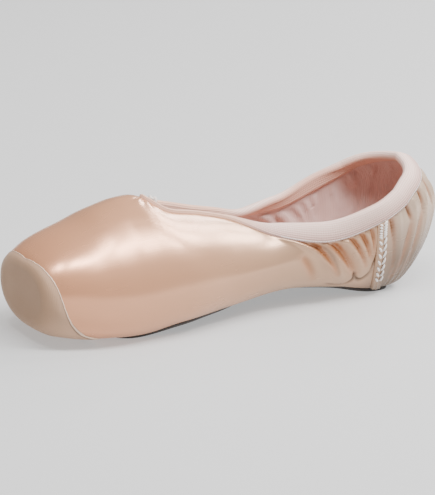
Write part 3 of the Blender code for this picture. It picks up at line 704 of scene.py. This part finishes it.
# Matt cloths: two tones, roughness, threads and strength of the weave
CLOTHS = {
    "pale cotton cord": ((0.82, 0.72, 0.66), (0.90, 0.82, 0.77), 0.8, 4000, 0.5),
    "white thread": ((0.86, 0.80, 0.76), (0.93, 0.88, 0.85), 0.6, 9000, 0.3),
    "pink cotton lining": ((0.66, 0.42, 0.37), (0.76, 0.52, 0.46), 0.9, 6500, 0.35),
    "insole cotton": ((0.70, 0.42, 0.34), (0.76, 0.50, 0.42), 0.9, 5500, 0.35),
    "dark suede": ((0.050, 0.045, 0.043), (0.085, 0.078, 0.075), 0.95, 3000, 0.5),
}


def plain_cloth(weave, name, colour, other, roughness, threads, strength):
    """A matt cloth in two tones, mixed by noise, with its weave."""
    made, tree, shader = new_material(name, colour, roughness, Sheen_Weight=0.3)
    place = node(tree, "ShaderNodeTexCoord").outputs["Object"]
    tones = mix(tree, noise(tree, place, 45.0, 4.0), colour, other)
    wire(tree, (tones, shader.inputs["Base Color"]))
    add_weave(tree, shader, weave, place, threads, 1.0, strength)
    return made


# Pieces

def fold_depth(points, side):
    """How far the satin stands out at each point. Each fold is a quadratic curve through its
    three places; a point at distance d from it moves by height times exp(-(d/width)^2), and
    the ends fade as the curve's middle share does, sin(pi t)^0.6. It also gives how deep the
    point lies in a trough and in a crack, for the painted shade there."""
    flat = points.reshape(-1, 3)
    moved, deep, dark = (np.zeros(len(flat)) for _ in range(3))
    for rows, sign, shade in ((RIDGES, 1, None), (TROUGHS, -1, deep), (CRACKS, -1, dark)):
        for a0, s0, a1, s1, a2, s2, width, height in rows:
            back = 0.0 if side > 0 else LEFT_FOLDS_BACK
            marks = rib(np.array([a0, a1, a2]) + back, np.array([s0, s1, s2]))
            t = np.linspace(0, 1, 25)[:, None]
            bend = 2 * marks[1] - (marks[0] + marks[2]) / 2
            line = (1 - t) ** 2 * marks[0] + 2 * t * (1 - t) * bend + t * t * marks[2]
            box = (flat > line.min(0) - 8 * MM).all(1) & (flat < line.max(0) + 8 * MM).all(1)
            if not box.any():
                continue
            away = np.linalg.norm(flat[box][:, None] - line[None], axis=2)
            nearest = away.argmin(axis=1)
            d = away.min(axis=1) / (width * MM)
            fade = np.sin(math.pi * np.clip(t[nearest, 0], 0.03, 0.97)) ** 0.6
            amount = np.exp(-d**2) * fade
            moved[box] += sign * height * MM * amount
            if shade is not None:
                shown = amount ** 0.7 * min(1.0, height / 1.6)
                shade[box] = np.maximum(shade[box], shown)
    return [found.reshape(points.shape[:-1]) for found in (moved, deep, dark)]


def satin_stations():
    """Ribs of the satin's grid: wide apart over the stiff front, close in the folds."""
    return np.concatenate([
        np.linspace(BODY_START, THROAT, 60)[:-1],
        THROAT + np.linspace(0, 1, 24)[:-1] ** 1.6 * 0.05,
        np.linspace(THROAT + 0.05, 0.52, 46)[:-1],
        np.linspace(0.52, HEEL_START, 150)[:-1],
        np.linspace(HEEL_START, 1, 78),
    ])


def gathers(along, share, below, side):
    """Small uneven gathers under the binding and round the heel: sums of sines of the place
    along, strongest just below the tape and fading downwards."""
    phase = 0.0 if side > 0 else 1.3
    heel = step_up(along, 0.84, 0.87)
    wave = (np.sin(along * 520 + 2.2 * np.sin(along * 90) + phase)
            + 0.6 * np.sin(along * 860 + 3.1 * share + phase))
    under_tape = np.exp(-np.clip(below - TAPE_OUTSIDE, 0, 1) / (9 * MM))
    waist = step_up(along, 0.66, 0.70) * (1 - step_up(along, 0.79, 0.80))
    low = np.exp(-((share - 0.2) / 0.12) ** 2) * step_up(along, 0.83, 0.86)
    return MM * wave * (0.2 * heel * (0.35 + under_tape) + 0.10 * waist * under_tape + 0.14 * low)


def throat_gathers(points):
    """Short pleats that the drawstring draws in the satin round the throat's point: sines of
    the angle round it, fading with the distance."""
    away = points - rib(THROAT, 1.0)
    angle = np.arctan2(away[..., 0], -away[..., 1])
    distance = np.linalg.norm(away, axis=-1)
    return 0.28 * MM * np.sin(angle * 9 + 1) * np.exp(-((distance - 5 * MM) / (5 * MM)) ** 2)


def satin_side(side):
    """One side of the satin as a grid, its normals, how far its folds move it along them, and
    the shade in troughs and cracks. Folds fade out by the sole, the binding, the side tape
    and the stiff front."""
    share = np.concatenate([[0, 0.05], np.linspace(FLAT_SHARE, BELLY_SHARE, 46),
                            np.linspace(BELLY_SHARE, 1, 62)[1:]])
    reach = np.concatenate([np.linspace(0, 1, PLATFORM_ROWS), np.linspace(1, 2, 12)[1:-1],
                            2 + satin_stations() - BODY_START])
    grid = toe(reach[:, None], share[None, :])
    along = np.where(reach < 2, 0, BODY_START + reach - 2)[:, None] * np.ones_like(share)
    up = share[None, :] * np.ones((len(reach), 1))
    out = outward(grid, PLATFORM_ROWS)
    below = way_over(grid[:, ::-1], 1)[:, ::-1]
    leg = smooth(LEG, along)[0] * TAPE_OUTSIDE
    clear = step_up(below, leg - 0.5 * MM, leg + 2.5 * MM) * step_up(up, *FOLDS_UP_FROM)
    clear = clear * step_up(along, *FOLDS_FROM)
    moved, deep, dark = fold_depth(grid, side)
    strip = np.abs(along - smooth(SEAM, 1 - up)[0]) * LENGTH
    beside = step_up(strip, SEAM_WIDTH * 0.35, SEAM_WIDTH * 0.62)
    moved = (moved + gathers(along, up, below, side)) * clear * beside
    leg_clear = step_up(below, leg - 0.3 * MM, leg + 1.5 * MM)
    moved = moved + throat_gathers(grid) * leg_clear
    moved = np.clip(moved, -DEEPEST_FOLD, HIGHEST_FOLD)
    middle = 1 - np.exp(-(grid[..., 0] / (1.5 * MM)) ** 2)
    moved = np.where(along > 0.9, moved * (0.5 + 0.5 * middle), moved)
    return grid, out, moved, deep * clear * beside, dark * clear


def lining_folds(grid):
    """Soft upright folds of the lining in the heel: sines of the place along, bent a little
    with height, and fading in from the waist."""
    along, height = grid[..., 1] / LENGTH + 0.5, grid[..., 2] / HEEL_HEIGHT
    turned = along + 0.1 * np.arctan2(grid[..., 0], 0.02) + 0.06 * height
    wave = np.sin(turned * 70) + 0.4 * np.sin(turned * 130 + 3 * height)
    return 0.5 * MM * wave * step_up(along, 0.6, 0.85) * step_up(height, 0.15, 0.5)


def deepest(moved):
    """The least of each value and its two neighbours to either side, along both directions."""
    for axis in (0, 0, 1, 1):
        beside = np.minimum(np.roll(moved, 1, axis), np.roll(moved, -1, axis))
        moved = np.minimum(moved, beside)
    return moved


def every_other(count):
    """Every other number below the count, and the last."""
    return np.unique(np.append(np.arange(0, count, 2), count - 1))


def lifted(grid, out, amount, side):
    """A half's grid moved along its normals by the amount, with its middle line kept."""
    placed = grid + out * amount[..., None]
    placed[grid[..., 0] == 0, 0] = 0
    return placed * [side, 1, 1]


def make_satin(satin, lining):
    """The satin's outside on both sides, and the lining a wall further in, which follows half
    of the folds and stays under the satin."""
    outer, inner, folds, cracks = [], [], [], []
    for _, side in SIDES:
        grid, out, moved, deep, dark = satin_side(side)
        wall = wall_at(grid[..., 1] / LENGTH + 0.5)
        depth = np.minimum(0.5 * moved - wall + lining_folds(grid), deepest(moved) - LEAST_SATIN)
        kept = np.ix_(every_other(grid.shape[0]), every_other(grid.shape[1]))
        outer.append(lifted(grid, out, moved, side))
        inner.append(lifted(grid, out, depth, side)[kept])
        folds.append(deep.ravel())
        cracks.append(dark.ravel())
    # The marks carry how much painted shade the troughs and cracks get.
    piece("satin_upper", *joined(*outer), satin, "upper", merge=WELD,
          marks={"fold": np.concatenate(folds), "crack_shade": np.concatenate(cracks)})
    piece("cloth_lining", *joined(*inner, inward=True), lining, "upper", slot="insole", merge=WELD)


def make_chart():
    """A chart of the satin near the collar: its points by the place along the shoe and by the
    way down each rib from the crown's line, in even steps, with its two tangents. Above the
    line it goes on down the crown's far side, or straight up where the sides stand."""
    along = np.linspace(CHART_START, CHART_END, CHART_ROWS)
    far_side = np.linspace(2.3, 2, 40)[:-1]
    up = np.concatenate([far_side, np.linspace(2, 0.6, 420)])
    ribs = skin(along[:, None], up[None, :])
    way = way_over(ribs, 1)
    way = way - way[:, len(far_side)][:, None]
    down = np.linspace(CHART_TOP, CHART_BOTTOM, CHART_COLUMNS)
    points = np.array([between(down, w, r) for w, r in zip(way, ribs)])
    above = down < 0
    first = np.searchsorted(down, 0.1 * MM)
    slope = unit(points[:, first + 4] - points[:, first])
    straight = points[:, first][:, None] + slope[:, None] * (down - down[first])[:, None]
    upright = (along > 0.4)[:, None, None] & above[:, None]
    points = np.where(upright, straight, points)
    by_along = np.gradient(points, along, axis=0)
    by_down = np.gradient(points, down, axis=1)
    edge = np.array([np.interp(-collar_up(a), -up, w) for a, w in zip(along, way)])
    return np.concatenate([points, by_along, by_down], axis=-1), along, edge


def bilinear(values, row, column):
    """Values of a table between its places, from the four around each."""
    i = np.clip(np.floor(row).astype(int), 0, values.shape[0] - 2)
    j = np.clip(np.floor(column).astype(int), 0, values.shape[1] - 2)
    u, v = (np.reshape(p, p.shape + (1,) * (values.ndim - 2)) for p in (row - i, column - j))
    return ((1 - u) * (1 - v) * values[i, j] + u * (1 - v) * values[i + 1, j]
            + (1 - u) * v * values[i, j + 1] + u * v * values[i + 1, j + 1])


def on_chart(along, down):
    """Point, tangent along and tangent down, read from the chart between its rows."""
    row = (along - CHART_START) / (CHART_END - CHART_START) * (CHART_ROWS - 1)
    column = (down - CHART_TOP) / (CHART_BOTTOM - CHART_TOP) * (CHART_COLUMNS - 1)
    found = bilinear(chart, row, column)
    return found[..., :3], found[..., 3:6], found[..., 6:]


def walk(along, down, lengths, direction):
    """Walks over the chart from each start, in the direction given, by steps of the given
    lengths, and gives the points and outward normals there. A step is the direction's share
    of both tangents, solved as two equations, and the direction is laid flat after it."""
    found = []
    for length in [0, *lengths]:
        _, by_along, by_down = on_chart(along, down)
        flat = direction * np.reshape(length, (-1, 1))
        aa, bb = (by_along**2).sum(-1), (by_down**2).sum(-1)
        ab = (by_along * by_down).sum(-1)
        da, db = (by_along * flat).sum(-1), (by_down * flat).sum(-1)
        whole = aa * bb - ab**2
        along = along + (da * bb - db * ab) / whole
        down = down + (db * aa - da * ab) / whole
        point, by_along, by_down = on_chart(along, down)
        out = unit(np.cross(by_down, by_along))
        direction = unit(direction - (direction * out).sum(-1, keepdims=True) * out)
        found.append((point, out))
    return np.moveaxis(np.array(found), 1, 0)


def collar_frames(along):
    """The collar's places on the chart, its edge, and the way down over the satin: the cross
    product of the edge's direction and the normal."""
    down_at = np.interp(along, chart_rows, chart_edge)
    edge, by_along, by_down = on_chart(along, down_at)
    ahead = np.gradient(edge, axis=0)
    ahead[0], ahead[-1] = (1, 0, 0), (-1, 0, 0)
    out = unit(np.cross(by_down, by_along))
    down = unit(np.cross(unit(ahead), out))
    down = down * np.sign((down * by_down).sum(-1, keepdims=True))
    down[0] = (0, -1, 0)
    return down_at, edge, down


def tape_stations():
    """Rings of the binding: close at the throat's point and round the heel, even between."""
    return np.concatenate([
        THROAT + np.linspace(0, 1, 30)[:-1] ** 2 * 0.05,
        np.linspace(THROAT + 0.05, HEEL_START, 150)[:-1],
        np.linspace(HEEL_START, 1, 70),
    ])


def tape_grid(along):
    """Rings of the binding, from the outside leg over a half ellipse to the inside leg, each
    leg walked down over the skin and lifted by its layers, with the way over the tape and
    along it, and which part of each ring lies inside."""
    down_at, edge, down = collar_frames(along)
    leg = smooth(LEG, along)[0] * TAPE_OUTSIDE
    outside, normals = walk(along, down_at, [leg / LEG_STEPS] * LEG_STEPS, down)
    share = np.linspace(0, 1, LEG_STEPS + 1)
    swell = 0.30 * MM * np.exp(-((share - 0.12) / 0.16) ** 2)
    rounding = 0.6 * MM * step_up(share, 0.8, 1.05)
    lift = SATIN_GAP + TAPE_THICKNESS + swell - rounding
    top = outside + normals * lift[:, None, None]
    under = outside[-1:] + normals[-1:] * 0.12 * MM
    steps = [np.full(len(along), TAPE_INSIDE / INSIDE_STEPS)] * INSIDE_STEPS
    inner, turned = walk(along, down_at, steps, down)
    wall = wall_at(edge[..., 1] / LENGTH + 0.5)[:, None]
    inner = inner - turned * (wall + LINING_GAP + TAPE_THICKNESS)
    angle = np.linspace(0, math.pi, 13)[1:-1]
    centre, half = (top[0] + inner[0]) / 2, (top[0] - inner[0]) / 2
    low = 0.35 + 0.65 * step_up(along, THROAT, THROAT + 0.04)
    rise = -down * (low * (GAP + TAPE_CROWN + TAPE_THICKNESS + 0.2 * MM))[:, None]
    fold = [centre + half * math.cos(a) + rise * math.sin(a) ** 0.8 for a in angle]
    behind = inner[-1:] + turned[-1:] * 0.5 * MM
    rings = np.moveaxis(np.concatenate([under, top[::-1], fold, inner, behind]), 0, 1)
    inside = np.clip((np.arange(rings.shape[1]) - len(top) - 4) / 4, 0, 1)
    return rings, way_over(rings, 1), way_over(edge), outside, normals, inside


def make_binding(knit, thread):
    """The binding as one closed ring after another, and the loops on its lower edge."""
    along = tape_stations()
    rings, across, length, outside, normals, inside = tape_grid(along)
    rings[0, :, 0] = rings[-1, :, 0] = 0
    uv = np.stack([across, np.broadcast_to(length[:, None], across.shape)], axis=-1)
    inside = np.ones((len(along), 1)) * inside
    front = (1 - step_up(along, *KNIT_FROM))[:, None] * (1 - inside)
    verts, faces, uvs, inside, front = both_sides(
        rings, uv.reshape(-1, 2), inside.ravel(), front.ravel(), closed=True)
    piece("knit_binding", verts, faces, knit, "collar_binding", uv=uvs, merge=WELD,
          marks={"inside": inside, "front": front})
    make_loops(along, outside, normals, length, thread)


def make_loops(along, outside, normals, length, thread):
    """The row of loop stitches along the binding's lower edge: each is an arch of thread over
    the tape's edge, sin(pi t) high, one at every step of the tape's length."""
    first = np.interp(LOOPS_START, along, length)
    count = int((length[-1] - first) / LOOP_STEP)
    at = np.linspace(first, length[-1] - 0.5 * MM, count)
    low, high = (between(at, length, outside[row]) for row in (LEG_STEPS, LEG_STEPS - 1))
    out = unit(between(at, length, normals[LEG_STEPS]))
    down = unit(low - high)
    ahead = unit(np.cross(down, out))
    t = np.linspace(0, 1, 7)[None, :, None]
    wide, tall = 0.62 * LOOP_STEP, 0.8 * MM
    start = low - down * 0.9 * MM
    path = (start[:, None] + ahead[:, None] * (t - 0.5) * wide
            + down[:, None] * np.sin(t * math.pi) * tall
            + out[:, None] * (1.25 - 0.75 * np.sin(t * math.pi)) * MM)
    verts, faces = tubes_mesh(tube(path, LOOP_CORD, 5))
    verts = np.concatenate([verts, verts * [-1, 1, 1]])
    faces = np.concatenate([faces, faces[:, ::-1] + len(verts) // 2])
    piece("binding_loops", verts, faces, thread, "collar_binding", merge=FINE_WELD)


def seam_grid(count_down, count_across):
    """A side tape's top face, from the binding down, as places along and shares up, and the
    place across it: its half width over the width of the skin there gives its steps along."""
    down = np.linspace(0, 1, count_down)
    middle = smooth(SEAM, down)[0]
    share = np.linspace(1, BELLY_SHARE, 80)

    def below(a):
        """The share where the binding's edge crosses a rib."""
        return float(np.interp(TAPE_OUTSIDE, way_over(rib(a, share)), share))

    top = below(float(middle[0]))
    up = top + (SEAM_END_SHARE - top) * down
    run = np.linalg.norm(rib(middle + 0.01, up) - rib(middle - 0.01, up), axis=-1)
    half = SEAM_WIDTH / 2 / (run / 0.02)
    across = np.linspace(-1, 1, count_across)[:, None]
    along = middle + across * half
    tops = np.array([below(float(a)) for a in along[:, 0]])[:, None]
    return along, tops + (SEAM_END_SHARE - tops) * down, across * np.ones_like(along)


def make_seams(satin, thread):
    """The side tapes, rounded at their edges and a little raised between two rows of zigzag
    stitches."""
    along, share, across = seam_grid(90, 25)
    grid = rib(along, share)[:, ::-1]
    out = normals_of(grid)
    across = across[:, ::-1]
    lift = SATIN_GAP + SEAM_THICKNESS * (1 - np.abs(across) ** 4) + 0.12 * MM * np.cos(across * 9)
    top = grid + out * (lift * (1 - 0.55 * (np.abs(across) > 0.99)))[..., None]
    rim = grid + out * (-0.2 * MM)
    top = np.concatenate([rim[:1], top, rim[-1:]])
    rows, cols = top.shape[:2]
    for name, side in SIDES:
        piece("side_tape_" + name, (top * [side, 1, 1]).reshape(-1, 3),
              quads(rows, cols, flip=side < 0), satin, "side_seam_" + name)
    for name, side in SIDES:
        piece("zigzag_" + name, *zigzag(along, share, side), thread, "side_seam_" + name)


def zigzag(along, share, side):
    """Two rows of short slanted stitches, like beads, leaning the other way in each row."""
    steps = (np.arange(STITCHES) + 0.5) / STITCHES * STITCH_ROWS_END + 0.01
    t = np.linspace(-1, 1, 7)
    paths = []
    for centre, lean in STITCH_ROWS:
        place = steps[:, None] + lean * t[None] * 0.35 / STITCHES
        x = centre + 0.27 * t[None] * np.ones_like(place)
        column = (x + 1) / 2 * (along.shape[0] - 1)
        row = np.clip(place, 0, 1) * (along.shape[1] - 1)
        a = bilinear(along, column, row)
        s = bilinear(share, column, row)
        p = rib(a, s)
        small = 1e-3
        out = unit(np.cross(rib(a + small, s) - rib(a - small, s),
                            rib(a, s + small) - rib(a, s - small)))
        arch = 1.5 * MM + 0.25 * MM * (1 - t[None] ** 2)
        paths.append(p + out * arch[..., None])
    path = np.concatenate(paths)
    verts, faces = tubes_mesh(tube(path, (STITCH_RADIUS * np.sqrt(1.05 - t**2))[None], 8))
    return verts * [side, 1, 1], faces if side > 0 else faces[:, ::-1]


def make_patch(worn):
    """The platform's satin, a layer over the toe as far as the patch's table, raised by its
    gap and thickness and sinking to its cut edge."""
    share = np.concatenate([np.linspace(0, FLAT_SHARE, 8)[:-1],
                            np.linspace(FLAT_SHARE, BELLY_SHARE, 60),
                            np.linspace(BELLY_SHARE, 1, 60)[1:]])
    run = smooth(PATCH, np.maximum(share, FLAT_SHARE))[0] * PATCH_REACH
    run = run + 0.07 * MM * np.sin(share * 90) * np.sin(share * 37)
    bend = np.minimum(PATCH_BEND, BEND_SHARE * run)
    t = np.linspace(0, 1, 44)[:, None]
    out = np.where(t < 0.5, 2 * t * bend, bend + (2 * t - 1) * (run - bend))
    over = np.where(out < PATCH_BEND, 1 + out / PATCH_BEND, 2 + (out - PATCH_BEND) / LENGTH)
    flat = np.linspace(0, 1, PATCH_ROWS)[:-1, None] * np.ones_like(run)
    grid = toe(np.concatenate([flat, over]), share[None, :])
    normal = outward(grid, PATCH_ROWS)
    edge = np.concatenate([flat[:, :1] * 0, t]) * np.ones(len(share))
    lift = TOE_LAYER * (1 - 0.62 * step_up(edge, 0.3, 1.0))
    lift[-2:] -= np.array([[0.05], [0.35]]) * MM
    top = grid + normal * lift[..., None]
    top[grid[..., 0] < MIDDLE, 0] = 0
    verts, faces, edge = both_sides(top, edge.ravel())
    piece("platform_patch", verts, faces, worn, "toe_patch", merge=WELD, marks={"edge": edge})


def slab(half_width, tip, depth, top_of, thickness, rounding):
    """A flat layer with rounded edges: the outline's round tip, waist and squared end, scaled
    in over rows that pass round the edge on a half circle."""
    turn = np.linspace(0, math.pi / 2, TIP_ROWS)
    front = tip + SOLE_TIP_ROUND / LENGTH * (1 - np.cos(turn))
    along = np.concatenate([front, np.linspace(front[-1], HEEL_START, 90)[1:]])
    half = half_width(along)
    half[0] = 0
    heel = np.linspace(0, math.pi / 2, 30)[1:]
    power = 2 / SOLE_END_SQUARE
    x = np.concatenate([half, half[-1] * np.cos(heel) ** power])
    x[-1] = 0
    y = np.concatenate([(along - 0.5) * LENGTH,
                        (HEEL_START - 0.5) * LENGTH + depth * np.sin(heel) ** power])
    top = top_of(y / LENGTH + 0.5)
    inward = np.concatenate([[0.0, 0.25, 0.5, 0.75, 0.92], [1.0] * 7, [0.92, 0.6, 0.3, 0.0]])
    angle = np.concatenate([[math.pi / 2] * 5, np.linspace(math.pi / 2, -math.pi / 2, 7),
                            [-math.pi / 2] * 4])
    tuck = rounding * (1 - np.cos(angle))
    scale = inward[None, :] * np.clip(1 - tuck[None, :] / np.maximum(x, 1 * MM)[:, None], 0, 1)
    z = top[:, None] - thickness / 2 + (thickness / 2) * np.sin(angle)[None, :]
    return np.stack([x[:, None] * scale, y[:, None] * np.ones_like(scale), z], axis=-1)


def make_soles(suede, insole_cloth):
    """The outsole below the satin, a little narrower in front, and the insole on the wall:
    its half width is the turned edge's less an inset, times a quarter circle at the tip."""
    grid = slab(lambda a: sole_half(a, 0) * (0.9 + 0.1 * step_up(a, 0.22, 0.36)), SOLE_TIP,
                SOLE_HEEL_DEPTH, lambda a: floor_height(a) - GAP, SOLE_THICKNESS, 0.5 * MM)
    piece("suede_outsole", *both_sides(grid), suede, "outsole", merge=WELD)
    tip = SOLE_TIP + INSOLE_INSET / LENGTH

    def half_width(along):
        """Half width of the insole."""
        turned = smooth(SECTIONS, along)[0] * BALL_WIDTH / 2
        short = np.clip(1 - (along - tip) * LENGTH / SOLE_TIP_ROUND, 0, 1)
        return (turned - INSOLE_INSET) * np.sqrt(1 - short**2)

    grid = slab(half_width, tip, TURN_HEEL_DEPTH - INSOLE_INSET,
                lambda a: floor_height(a) + wall_at(a) + GAP + INSOLE_THICKNESS,
                INSOLE_THICKNESS, 0.6 * MM)
    piece("cloth_insole", *both_sides(grid), insole_cloth, "insole", merge=WELD)


def cord_route():
    """The drawstring end's middle line, tucked in on the binding's inside leg."""
    along = THROAT + np.linspace(CORD_START, CORD_END, 13) / LENGTH
    down_at, _, down = collar_frames(np.concatenate([[THROAT], along]))
    inset = np.linspace(CORD_FIRST, CORD_INSET, len(along))
    place, out = walk(along, down_at[1:], [inset], down[1:])
    under = wall_at(along)[:, None] + LINING_GAP + TAPE_THICKNESS + GAP + CORD_RADIUS
    return place[-1] - out[-1] * under


def make_drawstring(cotton):
    """The two ends as cords, and between them the knot: a tube of the same cord along a
    trefoil, pressed into the knot's size."""
    t = np.linspace(0, 2 * math.pi, 90, endpoint=False)
    knot = np.stack([np.sin(t) + 2 * np.sin(2 * t), np.cos(t) - 2 * np.cos(2 * t),
                     -np.sin(3 * t)], axis=-1)
    room = np.array(KNOT_SIZE) / 2 - CORD_RADIUS * 1.05
    knot = knot / np.abs(knot).max(axis=0) * room + rib(THROAT, 1.0) + np.array(KNOT_PLACE)
    rings = tube(knot, CORD_RADIUS, 12, closed=True)
    rings = np.concatenate([rings, rings[:1]])
    rows, cols = rings.shape[:2]
    middle = piece("tied_knot", rings.reshape(-1, 3), quads(rows, cols, closed=True), cotton,
                   "drawstring_knot", merge=FINE_WELD)
    route = cord_route()
    length = float(way_over(route)[-1])
    for name, side in SIDES:
        path = route * [side, 1, 1]
        data = bpy.data.curves.new("drawstring_" + name, "CURVE")
        data.dimensions = "3D"
        data.bevel_depth, data.bevel_resolution = CORD_RADIUS, 3
        data.use_fill_caps = True
        line = data.splines.new("POLY")
        line.points.add(len(path) - 1)
        line.points.foreach_set("co", np.column_stack([path, np.ones(len(path))]).ravel())
        data.materials.append(cotton)
        end = bpy.data.objects.new("drawstring_" + name, data)
        bpy.context.scene.collection.objects.link(end)
        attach(end, "root")
        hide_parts("drawstring_end_" + name)


chart, chart_rows, chart_edge = make_chart()


def main():
    """Camera, floor and lights, then the materials, then the pieces."""
    add_camera()
    add_floor()
    add_lights()
    weave = cloth_group()
    satin, knit, worn = satin_material(weave), knit_material(weave), worn_material(weave)
    cotton, thread, lining, insole_cloth, suede = (
        plain_cloth(weave, name, *row) for name, row in CLOTHS.items())
    make_drawstring(cotton)
    make_satin(satin, lining)
    make_binding(knit, thread)
    make_seams(satin, thread)
    make_patch(worn)
    make_soles(suede, insole_cloth)


main()
